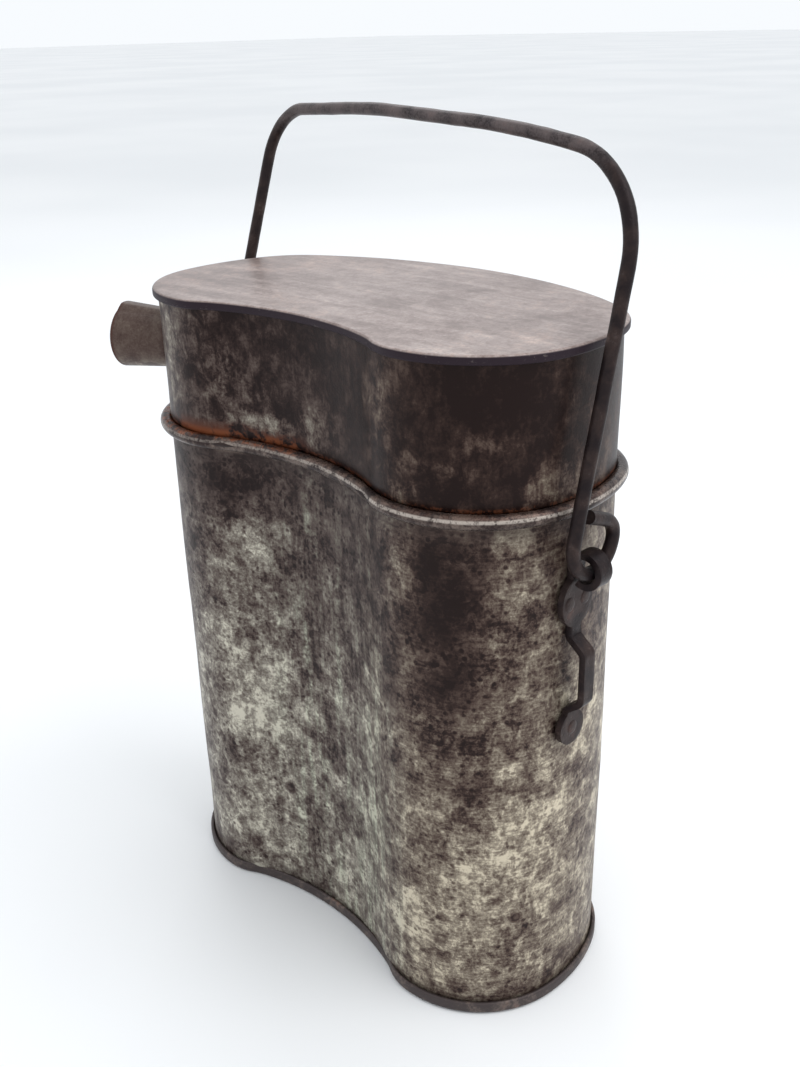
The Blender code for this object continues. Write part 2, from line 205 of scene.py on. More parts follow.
class CanteenIronSettings(bpy.types.PropertyGroup):
    rod: length("Rod", "Radius of the bail's rod", 0.0022)
    strap: length("Strap", "Thickness of the forged brackets", 0.0022)
    hammering: length("Hammering", "Depth of the marks on the forged iron", 0.00012)
    rivet_head: length("Rivet head", "Radius of a rivet's outer head", 0.0024)


class CanteenColourSettings(bpy.types.PropertyGroup):
    # This colour also paints the shade under the rim bead and darkens the foot of the pot's wall.
    oxide: colour("Oxide", "Dark iron oxide where the tin has gone", (0.034, 0.023, 0.021))
    rust: colour("Rust", "Orange rust in the corners of the seams", (0.19, 0.058, 0.024))
    iron: colour("Iron", "Rod and forgings", (0.0150, 0.0105, 0.0115))
    floor: colour("Floor", "Pale ground", (0.90, 0.905, 0.91))


class CanteenStageSettings(bpy.types.PropertyGroup):
    key: bpy.props.FloatProperty(name="Key light", description="Power of the large softbox", default=8.0)
    fill: bpy.props.FloatProperty(name="Fill light", description="Power of the side light", default=1.0)
    back: bpy.props.FloatProperty(name="Back light", description="Power of the light behind", default=4.0)
    sky: bpy.props.FloatProperty(name="Surround", description="Strength of the pale surround", default=1.0)
    lens: bpy.props.FloatProperty(name="Lens", description="Focal length in millimetres", default=38.6)


# ---------------------------------------------------------------- outline of the body


def front_arcs():
    """(centre, radius, first angle, turn, segments) of each arc on the +X side.

    A hollow has a radius below 0.
    """
    arcs = []
    place, heading = Vector((0.0, FRONT_Y)), 0.0
    for radius, turn, segments in FRONT_ARCS:
        bend = math.copysign(radius, turn)
        centre = place + bend * Vector((-math.sin(heading), math.cos(heading)))
        arcs.append((centre, bend, heading - math.pi / 2, math.radians(turn), segments))
        heading += math.radians(turn)
        place = centre + bend * Vector((math.sin(heading), -math.cos(heading)))
    back = place.x / math.sin(heading)
    centre = Vector((0.0, place.y + back * math.cos(heading)))
    arcs.append((centre, back, heading - math.pi / 2, math.pi - heading, BACK_SEGMENTS))
    return arcs


ARCS = front_arcs()
CORNER = Vector((-ARCS[1][0].x, ARCS[1][0].y))


def outline(offset):
    """The closed outline moved outwards by an offset, counter-clockwise from the middle of the front."""
    right = [Vector((0.0, FRONT_Y - offset))]
    for centre, bend, start, turn, segments in ARCS:
        for step in range(1, segments + 1):
            angle = start + turn * step / segments
            right.append(centre + (bend + offset) * Vector((math.cos(angle), math.sin(angle))))
    left = [Vector((-place.x, place.y)) for place in right[-2:0:-1]]
    return right + left


def outward(x, y):
    """The outline's outward direction through a point near it."""
    best, found = 1.0, Vector((0.0, 1.0))
    for centre, bend, start, turn, _ in ARCS:
        away = Vector((abs(x), y)) - centre
        side = math.copysign(1.0, bend)
        angle = math.atan2(side * away.y, side * away.x)
        middle = start + turn / 2
        apart = abs((angle - middle + math.pi) % (2 * math.pi) - math.pi) - abs(turn) / 2
        error = max(apart, 0.0) + abs(away.length - abs(bend)) * 0.5
        if error < best:
            best, found = error, side * away.normalized()
    return Vector((math.copysign(found.x, x) if x else 0.0, found.y, 0.0))


def arc_section(centre, radius, start, end, steps):
    """(offset, height) points on an arc of a cross-section, angles in degrees."""
    angles = [math.radians(start + (end - start) * step / steps) for step in range(steps + 1)]
    return [(centre[0] + radius * math.cos(a), centre[1] + radius * math.sin(a)) for a in angles]


# ---------------------------------------------------------------- modelling helpers


def deselect():
    bpy.ops.object.select_all(action="DESELECT")


def take(piece):
    """Makes a piece the only one selected, and active."""
    deselect()
    piece.select_set(True)
    bpy.context.view_layer.objects.active = piece


def edit(piece):
    take(piece)
    bpy.ops.object.mode_set(mode="EDIT")


def leave():
    bpy.ops.object.mode_set(mode="OBJECT")


def named(name):
    piece = bpy.context.object
    piece.name = piece.data.name = name
    return piece


def weld(piece):
    """Merges doubled points and turns the faces outwards."""
    edit(piece)
    bpy.ops.mesh.select_all(action="SELECT")
    bpy.ops.mesh.remove_doubles(threshold=0.000001)
    bpy.ops.mesh.normals_make_consistent(inside=False)
    leave()


def apply(piece, kind, **settings):
    """Adds a modifier with its settings and applies it."""
    take(piece)
    modifier = piece.modifiers.new(kind.title(), kind)
    for name, value in settings.items():
        setattr(modifier, name, value)
    bpy.ops.object.modifier_apply(modifier=modifier.name)


def smooth(piece, degrees=35.0):
    take(piece)
    bpy.ops.object.shade_smooth_by_angle(angle=math.radians(degrees))


def finish(piece, body, slot, surface, *nodes):
    """Gives a piece its material and its place in the frame."""
    piece.data.materials.clear()
    piece.data.materials.append(surface)
    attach(piece, body)
    if nodes:
        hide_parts(*nodes)


def wander(place, size, seed):
    """Smooth noise from -1 to 1, with features of a size."""
    return noise.noise(Vector(place) / size + Vector((seed, 2.7 * seed, -seed)))


def uneven(piece, amount, low, high, fade, seed):
    """Moves a body's wall in and out a little, dying away towards its edges."""
    for vertex in piece.data.vertices:
        place = vertex.co
        near = min(place.z - low, high - place.z) / fade
        hold = max(0.0, min(1.0, near))
        broad = wander((place.x, place.y, place.z * 0.6), 0.034, seed)
        small = wander(place, 0.012, seed + 5)
        vertex.co = place + outward(place.x, place.y) * amount * hold * (broad + 0.25 * small)


def ring(name, offset, height):
    """A circle primitive laid on the outline."""
    places = outline(offset)
    deselect()
    bpy.ops.mesh.primitive_circle_add(vertices=len(places))
    piece = named(name)
    for vertex, place in zip(piece.data.vertices, places):
        vertex.co = (place.x, place.y, height)
    return piece


def extrude_section(piece, section):
    """Extrudes the ring through the (offset, height) points of a cross-section."""
    edit(piece)
    bpy.ops.mesh.select_all(action="SELECT")
    for (offset, height), (next_offset, next_height) in zip(section, section[1:]):
        rise = next_height - height
        bpy.ops.mesh.extrude_region_move(TRANSFORM_OT_translate={"value": (0.0, 0.0, rise)})
        shape = bmesh.from_edit_mesh(piece.data)
        for vertex in shape.verts:
            if vertex.select:
                vertex.co += outward(vertex.co.x, vertex.co.y) * (next_offset - offset)
        bmesh.update_edit_mesh(piece.data)
    leave()


def fill_ends(piece, offset, *heights):
    """Closes a body's open rings, each with a grid of faces from the front of the outline to its back."""
    places = outline(offset)
    quarter = len(places) // 4

    for height in heights:

        def place(column, row):
            near = places[(column - quarter) % len(places)]
            far = places[(3 * quarter - column) % len(places)]
            return Vector((*near.lerp(far, row / (END_ROWS - 1)), height))

        end = sheet_grid("end", 2 * quarter + 1, END_ROWS, place)
        take(piece)
        end.select_set(True)
        bpy.ops.object.join()


def body_piece(name, section):
    piece = ring(name, *section[0])
    extrude_section(piece, section)
    return piece


def rise(offset, low, high, rings):
    """A straight stretch of a cross-section."""
    return [(offset, low + (high - low) * step / rings) for step in range(rings + 1)]


def sheet_grid(name, columns, rows, place):
    """A grid primitive with each of its points put at place(column, row)."""
    deselect()
    bpy.ops.mesh.primitive_grid_add(x_subdivisions=columns - 1, y_subdivisions=rows - 1)
    piece = named(name)
    for index, vertex in enumerate(piece.data.vertices):
        vertex.co = place(index % columns, index // columns)
    return piece


def line(name, places):
    """An open chain of points, from a circle primitive with one edge taken out."""
    deselect()
    bpy.ops.mesh.primitive_circle_add(vertices=len(places))
    piece = named(name)
    for vertex, place in zip(piece.data.vertices, places):
        vertex.co = place
    edit(piece)
    bpy.ops.mesh.select_all(action="DESELECT")
    shape = bmesh.from_edit_mesh(piece.data)
    last = len(places) - 1
    for edge in shape.edges:
        if {vertex.index for vertex in edge.verts} == {0, last}:
            edge.select_set(True)
    bmesh.update_edit_mesh(piece.data)
    bpy.ops.mesh.delete(type="EDGE")
    leave()
    return piece


def rod(name, places, radius, closed=False):
    """A round rod along a line of points."""
    piece = line(name, places)
    take(piece)
    bpy.ops.object.convert(target="CURVE")
    piece = named(name)
    piece.data.splines[0].use_cyclic_u = closed
    piece.data.bevel_depth = radius
    piece.data.bevel_resolution = 6
    piece.data.use_fill_caps = not closed
    bpy.ops.object.convert(target="MESH")
    piece = named(name)
    weld(piece)
    return piece


def rounded_path(corners, bends, steps):
    """A path through its corners, each inner corner rounded by an arc of its bend radius."""
    path = [Vector(corners[0])]
    for before, corner, after, bend in zip(corners, corners[1:], corners[2:], bends):
        corner = Vector(corner)
        back = (Vector(before) - corner).normalized()
        on = (Vector(after) - corner).normalized()
        angle = back.angle(on)
        centre = corner + (back + on).normalized() * bend / math.sin(angle / 2)
        first = corner + back * bend / math.tan(angle / 2) - centre
        last = corner + on * bend / math.tan(angle / 2) - centre
        for step in range(steps + 1):
            path.append(centre + bend * first.slerp(last, step / steps))
    path.append(Vector(corners[-1]))
    return path


def hammer(piece, depth, size, seed):
    """Fine unevenness of forged iron, along the normals."""
    normals = [vertex.normal.copy() for vertex in piece.data.vertices]
    for vertex, normal in zip(piece.data.vertices, normals):
        vertex.co += normal * depth * wander(vertex.co, size, seed)


# ---------------------------------------------------------------- shader expressions


class Value:
    """A shader value: Python's operators on it add Math nodes."""

    def __init__(self, paint, socket):
        self.paint, self.socket = paint, socket

    def math(self, operation, *others, first=None):
        inputs = [self if first is None else first, *others]
        return self.paint.node("Math", {"operation": operation}, dict(enumerate(inputs)))

    def __add__(self, other):
        return self.math("ADD", other)

    def __radd__(self, other):
        return self.math("ADD", other)

    def __sub__(self, other):
        return self.math("SUBTRACT", other)

    def __rsub__(self, other):
        return self.math("SUBTRACT", self, first=other)

    def __mul__(self, other):
        return self.math("MULTIPLY", other)

    def __rmul__(self, other):
        return self.math("MULTIPLY", other)

    def __abs__(self):
        return self.math("ABSOLUTE")

    def larger(self, other):
        return self.math("MAXIMUM", other)

    def ramp(self, low, high):
        """0 below low and 1 above high, smoothly between; a high below low turns it round."""
        settings = {"interpolation_type": "SMOOTHSTEP"}
        return self.paint.node("MapRange", settings, {0: self, 1: low, 2: high})


class Paint:
    """A Principled material built from expressions."""

    def __init__(self, name):
        self.material = bpy.data.materials.new(name)
        self.material.use_nodes = True
        self.tree = self.material.node_tree
        self.shader = self.tree.nodes["Principled BSDF"]
        place = self.node("TexCoord", {}, {}, "Object").socket
        self.place = self.node("VectorMath", {"operation": "SCALE"}, {0: place, "Scale": 1 / MM}).socket
        self.x, self.y, self.z = (self.node("SeparateXYZ", {}, {0: self.place}, axis) for axis in "XYZ")

    def node(self, kind, settings, inputs, output=0):
        """Adds a node, makes its settings, then joins its sockets to values or sets them."""
        made = self.tree.nodes.new("ShaderNode" + kind)
        for name, value in settings.items():
            if name == "stops":
                self.set_stops(made.color_ramp.elements, value)
            else:
                setattr(made, name, value)
        for key, value in inputs.items():
            self.put(made.inputs[key], value)
        return Value(self, made.outputs[output])

    def set_stops(self, elements, stops):
        for _ in stops[2:]:
            elements.new(1.0)
        for element, (place, tint) in zip(elements, stops):
            element.position, element.color = place, (*tint, 1.0)

    def tones(self, value, stops):
        """A colour from a value by a ramp of (place, colour) stops."""
        return self.node("ValToRGB", {"stops": stops}, {0: value}).socket

    def tinted(self, tint, by):
        """A colour multiplied by a colour."""
        return self.node("VectorMath", {"operation": "MULTIPLY"}, {0: tint, 1: by}).socket

    def put(self, socket, value):
        if isinstance(value, Value):
            value = value.socket
        if isinstance(value, bpy.types.NodeSocket):
            self.tree.links.new(value, socket)
        elif socket.type == "RGBA":
            socket.default_value = (*value, 1.0)
        else:
            socket.default_value = value

    def stretched(self, scale, turn=(0.0, 0.0, 0.0)):
        """Coordinates in millimetres, stretched and turned."""
        settings = {"vector_type": "POINT"}
        inputs = {"Vector": self.place, "Rotation": turn, "Scale": scale}
        return self.node("Mapping", settings, inputs).socket

    def cloud(self, size, detail=4.0, rough=0.55, bend=0.0, scale=(1.0, 1.0, 1.0), turn=(0.0, 0.0, 0.0)):
        """Fractal noise from 0 to 1 about 0.5, with features of a size in millimetres."""
        inputs = {
            "Vector": self.stretched(scale, turn),
            "Scale": 1 / size,
            "Detail": detail,
            "Roughness": rough,
            "Distortion": bend,
        }
        return self.node("TexNoise", {"noise_dimensions": "3D"}, inputs, 0)

    def cells(self, size, jitter=1.0):
        """Distance in millimetres from the nearest of scattered points, and that point's random value."""
        inputs = {"Vector": self.place, "Scale": 1 / size, "Randomness": jitter}
        distance = self.node("TexVoronoi", {}, inputs, 0)
        tint = Value(self, distance.socket.node.outputs["Color"])
        return distance * size, self.node("SeparateXYZ", {}, {0: tint}, "X")

    def ragged(self, size, reach):
        """Coordinates in millimetres, shifted about by noise of a size."""
        inputs = {"Vector": self.place, "Scale": 1 / size, "Detail": 6.0, "Roughness": 0.7}
        shift = self.node("TexNoise", {}, inputs, "Color").socket
        shift = self.node("VectorMath", {"operation": "SUBTRACT"}, {0: shift, 1: (0.5, 0.5, 0.5)}).socket
        inputs = {0: shift, 1: (reach, reach, reach), 2: self.place}
        return self.node("VectorMath", {"operation": "MULTIPLY_ADD"}, inputs).socket

    def patches(self, places, spots):
        """A sum of soft patches on the front; POT_PATCHES says what each holds."""
        total = 0.0
        for x, z, wide, tall, strength in spots:
            span = (wide, FRONT_PATCH_DEPTH, tall)
            inputs = {"Vector": places, "Location": (x, FRONT_PATCH_Y, z), "Scale": span}
            away = self.node("Mapping", {"vector_type": "TEXTURE"}, inputs).socket
            reach = self.node("VectorMath", {"operation": "LENGTH"}, {0: away}, "Value")
            settings = {"interpolation_type": "SMOOTHSTEP"}
            total = self.node("MapRange", settings, {0: reach, 1: 1.15, 2: 0.15, 4: strength}) + total
        return total

    def mix(self, factor, first, second):
        """A colour between two colours."""
        settings = {"data_type": "RGBA", "clamp_factor": True}
        node = self.node("Mix", settings, {0: factor, 6: first, 7: second}, 2)
        return node.socket

    def bump(self, height, depth, after=None):
        """A normal from a height in millimetres times a depth."""
        inputs = {"Strength": 1.0, "Distance": depth * MM, "Height": height}
        if after is not None:
            inputs["Normal"] = after
        return self.node("Bump", {}, inputs).socket

    def finish(self, tint, rough, metal, normal, shine=0.5):
        """Joins the colour, roughness and normal to the shader; shine is its constant specular level."""
        shader = self.shader.inputs
        self.put(shader["Base Color"], tint)
        self.put(shader["Roughness"], rough)
        self.put(shader["Metallic"], metal)
        if normal is not None:
            self.put(shader["Normal"], normal)
        shader["Specular IOR Level"].default_value = shine
        return self.material


# ---------------------------------------------------------------- materials


def worn_tin(colours):
    """The pot: tin coat worn through to brown oxide, in patches, rings and streaks, with a browned rim, a
    painted highlight on the rim's crest and painted shade under the rim.
    """
    paint = Paint("worn_tin")
    x, z = paint.x, paint.z
    front = paint.y.ramp(18.0, 2.0)
    mottle = paint.cloud(15.0, 10.0, 0.64, 0.5) - 0.5
    flake = paint.cloud(5.0, 8.0, 0.70, 0.6) - 0.5
    grain = paint.cloud(1.0, 4.0, 0.75) - 0.5
    blots = paint.cloud(7.0, 7.0, 0.62, 1.3)
    streaks = paint.cloud(3.2, 5.0, 0.65, 0.2, scale=(1.0, 1.0, 0.07)) - 0.5
    smears = paint.cloud(6.0, 6.0, 0.66, 0.4, scale=(1.0, 1.0, 0.35), turn=(0.0, 0.4, 0.0)) - 0.5
    scratches = paint.cloud(1.0, 4.0, 0.7, 0.1, scale=(0.07, 0.07, 1.0), turn=(0.05, 0.04, 0.0)) - 0.5
    hollow = abs(x - 12).ramp(44.0, 20.0) * front
    lobe = x.ramp(38.0, 58.0) * front
    level = paint.patches(paint.ragged(14.0, 22.0), POT_PATCHES) + (paint.cloud(44.0, 3.0, 0.5) - 0.5) * 0.5
    level = level + 0.635 - z.ramp(70.0, 190.0) * front * 0.25 - lobe * z.ramp(30.0, 110.0) * 0.06
    lively = level.ramp(0.10, 0.55) * 0.6 + 0.4
    worn = mottle * 1.6 + flake * 1.6 + grain * 1.1 + smears * 0.8
    worn = worn + streaks * (0.15 + hollow * 0.9) + scratches * (0.1 + lobe * 0.6)
    worn = level + worn * lively - blots.ramp(0.54, 0.60) * 0.16
    distance, chance = paint.cells(8.5)
    ring = distance.ramp(0.7, 1.7) * distance.ramp(3.1, 2.2) * 0.55 + distance.ramp(2.2, 1.4) * 0.45
    ring = ring * chance.ramp(0.40, 0.55) * z.ramp(115.0, 70.0) * (flake + grain).ramp(-0.20, 0.0)
    speck, lot = paint.cells(2.4)
    speck = speck.ramp(1.1, 0.35) * lot.ramp(0.30, 0.55) * (grain + flake).ramp(-0.15, 0.05)
    worn = worn - (ring * 0.42).larger(speck * 0.36)
    tint = paint.tones(worn, TIN_TONES)
    cool = paint.mix(x.ramp(20.0, 60.0), (1.0, 0.985, 0.98), (1.05, 0.97, 0.89))
    cool = paint.mix(hollow * streaks.ramp(-0.04, 0.14) * worn.ramp(0.3, 0.5), cool, (0.95, 1.01, 0.96))
    skin = paint.tinted(tint, cool)
    rim = z.ramp(186.4, 188.0)
    rust = z.ramp(191.2, 192.4) * flake.ramp(-0.05, 0.08) * (x.ramp(6.0, -12.0) * 0.8 + 0.15) * front
    # Painted highlight along the bead's crest, stronger towards the right where the light falls, over some
    # rubbed bare metal.
    crest = z.ramp(190.5, 191.0) * z.ramp(191.9, 191.5) * (flake + grain).ramp(-0.20, 0.06)
    rubbed = (mottle + flake + grain * 0.5).ramp(-0.12, 0.22)
    bead = paint.mix(rubbed, (0.032, 0.021, 0.020), (0.15, 0.115, 0.098))
    bead = paint.mix(crest * (x.ramp(-30.0, 50.0) * 0.5 + 0.35), bead, (0.48, 0.42, 0.37))
    bead = paint.mix(rust, bead, colours.rust)
    # Painted shade: a band under the rim bead made darker, where the bead shades the wall.
    under = z.ramp(179.0, 187.0) * (1 - rim)
    skin = paint.mix(under * 0.40, skin, colours.oxide)
    skin = paint.mix(z.ramp(12.0, 2.0) * 0.40, skin, colours.oxide)
    skin = paint.mix(rim, skin, bead)
    rough = 0.46 + grain * 0.30 - worn * 0.10 - rim * 0.14
    height = worn * 0.45 + grain * 0.35 + flake * 0.5
    metal = 0.25 + rim * 0.30
    return paint.finish(skin, rough, metal, paint.bump(height, 0.15), shine=0.18)


def blackened_tin(colours):
    """The lid's wall: nearly black, with olive and beige remains of tin, and rust above the rim."""
    paint = Paint("blackened_tin")
    x, z = paint.x, paint.z
    front = paint.y.ramp(18.0, 2.0)
    mottle = paint.cloud(14.0, 9.0, 0.64, 0.6) - 0.5
    flake = paint.cloud(5.0, 8.0, 0.70, 0.6) - 0.5
    grain = paint.cloud(1.0, 4.0, 0.72) - 0.5
    strokes = paint.cloud(3.4, 6.0, 0.68, 0.3, scale=(1.0, 1.0, 0.25), turn=(0.0, 0.45, 0.0)) - 0.5
    level = paint.patches(paint.ragged(12.0, 18.0), LID_PATCHES) + (paint.cloud(40.0, 3.0, 0.5) - 0.5) * 0.5
    level = level + 0.05 + x.ramp(10.0, -60.0) * 0.16
    lively = level.ramp(-0.05, 0.40) * 0.70 + 0.30
    worn = level + (mottle * 1.5 + flake * 1.9 + strokes * 1.2 + grain * 0.8) * lively
    tint = paint.tones(worn, TIN_TONES)
    cool = paint.mix(x.ramp(-10.0, 60.0), (1.0, 0.98, 0.97), (1.05, 0.97, 0.88))
    skin = paint.tinted(tint, cool)
    line = z.ramp(194.2, 193.2) * (flake + grain).ramp(-0.04, 0.10) * 0.5
    rust = z.ramp(199.5, 194.0) * (flake + mottle).ramp(-0.12, 0.02)
    rust = rust * x.ramp(4.0, -12.0) * x.ramp(-66.0, -54.0)
    rust = rust * front
    browned = paint.mix(z.ramp(196.0, 193.5), (0.085, 0.026, 0.013), colours.rust)
    rust = rust.larger(line) * z.ramp(190.6, 192.0)
    skin = paint.mix(rust, skin, browned)
    rough = 0.38 + grain * 0.24 + worn * 0.10
    height = worn * 0.4 + grain * 0.3 + flake * 0.4
    return paint.finish(skin, rough, 0.20, paint.bump(height, 0.12), shine=0.14)


def socket_tin(colours):
    """The stick socket: smooth grey-brown sheet, reddened at its mouth, with pale tin left underneath."""
    paint = Paint("socket_tin")
    along = (math.cos(SOCKET_ANGLE), math.sin(SOCKET_ANGLE), 0.0)
    root = CORNER.x * along[0] + CORNER.y * along[1]
    reach = paint.node("VectorMath", {"operation": "DOT_PRODUCT"}, {0: paint.place, 1: along}, "Value")
    reach = reach - (root + ARCS[1][1]) / MM
    mottle = paint.cloud(7.0, 7.0, 0.62, 0.5) - 0.5
    flake = paint.cloud(3.0, 7.0, 0.70, 0.4) - 0.5
    grain = paint.cloud(0.8, 4.0, 0.70) - 0.5
    under = paint.z.ramp(SOCKET_HEIGHT / MM - 4.0, SOCKET_HEIGHT / MM - 11.0)
    level = 0.36 + mottle * 0.34 + flake * 0.30 + grain * 0.40
    level = level + under * (flake + mottle).ramp(-0.10, 0.12) * 0.36
    level = level - reach.ramp(4.0, 0.0) * 0.14
    skin = paint.tinted(paint.tones(level, TIN_TONES), (1.05, 0.96, 0.92))
    mouth = reach.ramp(SOCKET_LENGTH / MM - 1.6, SOCKET_LENGTH / MM - 0.4)
    skin = paint.mix(mouth * (flake.ramp(-0.2, 0.1) * 0.5 + 0.4), skin, (0.062, 0.022, 0.016))
    rough = 0.44 + grain * 0.26
    height = mottle * 0.3 + grain * 0.4
    return paint.finish(skin, rough, 0.25, paint.bump(height, 0.08), shine=0.16)


def rubbed_top(colours):
    """The lid's top: smooth grey-brown sheet with soft rolling marks along it, browned at the edge."""
    paint = Paint("rubbed_top")
    z = paint.z
    marks = paint.cloud(8.0, 6.0, 0.60, 0.5, scale=(0.14, 1.0, 1.0), turn=(0.0, 0.0, 0.30)) - 0.5
    fine = paint.cloud(2.0, 5.0, 0.7, 0.1, scale=(0.16, 1.0, 1.0), turn=(0.0, 0.0, 0.30)) - 0.5
    broad = paint.cloud(36.0, 6.0, 0.6, 0.5) - 0.5
    flake = paint.cloud(4.0, 7.0, 0.72, 0.4) - 0.5
    grain = paint.cloud(0.9, 3.0, 0.7) - 0.5
    mark = 0.46 + marks * 0.85 + broad * 1.0 + fine * 0.25 + flake * 0.75 + grain * 0.8
    # Painted shade: the top made darker towards its left, away from the light.
    mark = mark - paint.x.ramp(-10.0, -75.0) * 0.16
    tint = paint.tones(mark, TOP_TONES)
    tint = paint.mix((broad + flake).ramp(0.04, 0.22) * 0.35, tint, paint.tinted(tint, (1.06, 0.80, 0.66)))
    edge = z.ramp(239.65, 239.2)
    lip = paint.mix((fine + grain).ramp(0.14, 0.34) * 0.5, (0.017, 0.0085, 0.014), (0.16, 0.13, 0.120))
    skin = paint.mix(edge, tint, lip)
    rough = 0.36 + grain * 0.24 + marks * 0.20 + edge * 0.16
    return paint.finish(skin, rough, 0.20, paint.bump(fine * 0.3 + grain * 0.35, 0.06), shine=0.24)


def browned_seam(colours):
    """The base seam: dark brown satin with a little rust and rubbed high spots."""
    paint = Paint("browned_seam")
    blotch = paint.cloud(9.0, 6.0, 0.65, 0.5)
    grain = paint.cloud(1.0, 4.0, 0.7)
    rubbed = (blotch + grain * 0.5).ramp(0.72, 0.98)
    skin = paint.mix(rubbed, (0.050, 0.037, 0.036), (0.17, 0.13, 0.11))
    skin = paint.mix(blotch.ramp(0.58, 0.74) * 0.35, skin, colours.rust)
    return paint.finish(skin, 0.42 + grain * 0.2, 0.4, paint.bump(grain + blotch, 0.10))


def dark_iron(name, colours, wear):
    """Satin iron of the rod or the forgings, with brown tints, rubbed high spots and a painted highlight
    along the bail's top.
    """
    paint = Paint(name)
    blotch = paint.cloud(8.0, 5.0, 0.6, 0.4)
    grain = paint.cloud(0.7, 5.0, 0.75)
    pits = paint.cells(1.5)[0].ramp(0.1, 0.5)
    rubbed = (blotch * 0.7 + grain * 0.6).ramp(0.70, 0.92)
    skin = paint.mix(blotch.ramp(0.35, 0.70), colours.iron, (0.040, 0.026, 0.023))
    skin = paint.mix(rubbed * wear, skin, (0.14, 0.12, 0.12))
    # Painted highlight: the bail's top bar made lighter where the light from above falls on it, with some
    # rubbing from handling. Only the bail reaches this height.
    top_highlight_and_wear = paint.z.ramp(284.0, 291.0) * (blotch * 0.5 + grain * 0.5).ramp(0.36, 0.56)
    skin = paint.mix(top_highlight_and_wear * 0.30, skin, (0.24, 0.20, 0.20))
    skin = paint.mix(blotch.ramp(0.62, 0.78) * 0.16, skin, colours.rust)
    height = pits * 0.6 + grain * 0.6 + blotch * 0.5
    return paint.finish(skin, 0.30 + grain * 0.22, 0.35, paint.bump(height, 0.10), shine=0.14)


# ---------------------------------------------------------------- operators


class CANTEEN_OT_pot(bpy.types.Operator):
    """Model the pot's wall with its wired rim"""

    bl_idname = "canteen.pot"
    bl_label = "Pot Wall"

    def execute(self, context):
        settings = context.scene.canteen_sheet
        inner = -settings.sheet
        low = PLATE + GAP
        root = RIM_HEIGHT - settings.bead
        curl = arc_section((BEAD_OFFSET, RIM_HEIGHT), settings.bead, 180.0, -112.0, 22)
        section = rise(inner, low, root, SLEEVE_RINGS) + curl
        piece = body_piece("pot_shell", section)
        uneven(piece, settings.unevenness, low, root, 0.022, 3)
        face_wall(piece, -1)
        apply(piece, "SOLIDIFY", thickness=settings.sheet, offset=-1.0)
        smooth(piece)
        finish(piece, "pot", "worn_tin", worn_tin(context.scene.canteen_colours), "pot_wall")
        return {"FINISHED"}


def face_wall(piece, way):
    """Turns an open wall's faces out of the body for way 1, or into it for -1."""
    face = piece.data.polygons[0]
    if way * face.normal.dot(outward(face.center.x, face.center.y)) < 0:
        piece.data.flip_normals()


class CANTEEN_OT_base(bpy.types.Operator):
    """Model the base plate with its seam"""

    bl_idname = "canteen.base"
    bl_label = "Base Plate"

    def execute(self, context):
        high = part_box("pot_base")[1].z
        foot = arc_section((LIP_OFFSET - 0.0013, 0.0013), 0.0013, -90.0, 0.0, 6)
        crest = arc_section((LIP_OFFSET - 0.0008, high - 0.0008), 0.0008, 0.0, 180.0, 8)
        section = [(-END_INSET, 0.0), (-0.0010, 0.0), *foot, *crest[:-1], (GAP, high - 0.0010), (GAP, PLATE)]
        section += [(-END_INSET, PLATE)]
        piece = body_piece("base_plate", section)
        fill_ends(piece, -END_INSET, 0.0, PLATE)
        weld(piece)
        smooth(piece)
        finish(piece, "pot", "seam_iron", browned_seam(context.scene.canteen_colours), "pot_base")
        return {"FINISHED"}


class CANTEEN_OT_lid(bpy.types.Operator):
    """Model the lid's wall and its top plate"""

    bl_idname = "canteen.lid"
    bl_label = "Lid"

    def execute(self, context):
        settings = context.scene.canteen_sheet
        colours = context.scene.canteen_colours
        foot = RIM_HEIGHT - settings.neck
        shoulder = RIM_HEIGHT + 0.0024
        top = LID_HEIGHT - PLATE - GAP
        section = rise(-settings.inset, foot, shoulder - 0.0018, 5)
        section += [(-settings.inset * 0.86, shoulder - 0.0014), (-settings.inset * 0.5, shoulder - 0.0008)]
        section += [(-settings.inset * 0.14, shoulder - 0.0003)]
        section += rise(0.0, shoulder + 0.0003, top, 14)
        wall = body_piece("lid_skirt", section)
        uneven(wall, settings.unevenness, shoulder, top, 0.012, 11)
        face_wall(wall, 1)
        apply(wall, "SOLIDIFY", thickness=settings.sheet, offset=-1.0)
        smooth(wall)
        finish(wall, "lid", "blackened_tin", blackened_tin(colours), "lid_wall")

        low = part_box("lid_top")[0].z
        over = arc_section((LIP_OFFSET - 0.0011, LID_HEIGHT - 0.0011), 0.0011, 90.0, 0.0, 8)
        under = arc_section((LIP_OFFSET - 0.0006, low + 0.0006), 0.0006, 0.0, -90.0, 5)
        inside = [(GAP, low), (GAP, LID_HEIGHT - PLATE), (-END_INSET, LID_HEIGHT - PLATE)]
        section = [(-END_INSET, LID_HEIGHT), (-0.0015, LID_HEIGHT), *over, *under, *inside]
        plate = body_piece("lid_plate", section)
        fill_ends(plate, -END_INSET, LID_HEIGHT, LID_HEIGHT - PLATE)
        weld(plate)
        for vertex in plate.data.vertices:
            flat = (vertex.co.x, vertex.co.y, 0.0)
            vertex.co.z += settings.unevenness * 0.6 * (wander(flat, 0.040, 21) - 0.4)
        smooth(plate)
        finish(plate, "lid", "top_sheet", rubbed_top(colours), "lid_top")
        return {"FINISHED"}


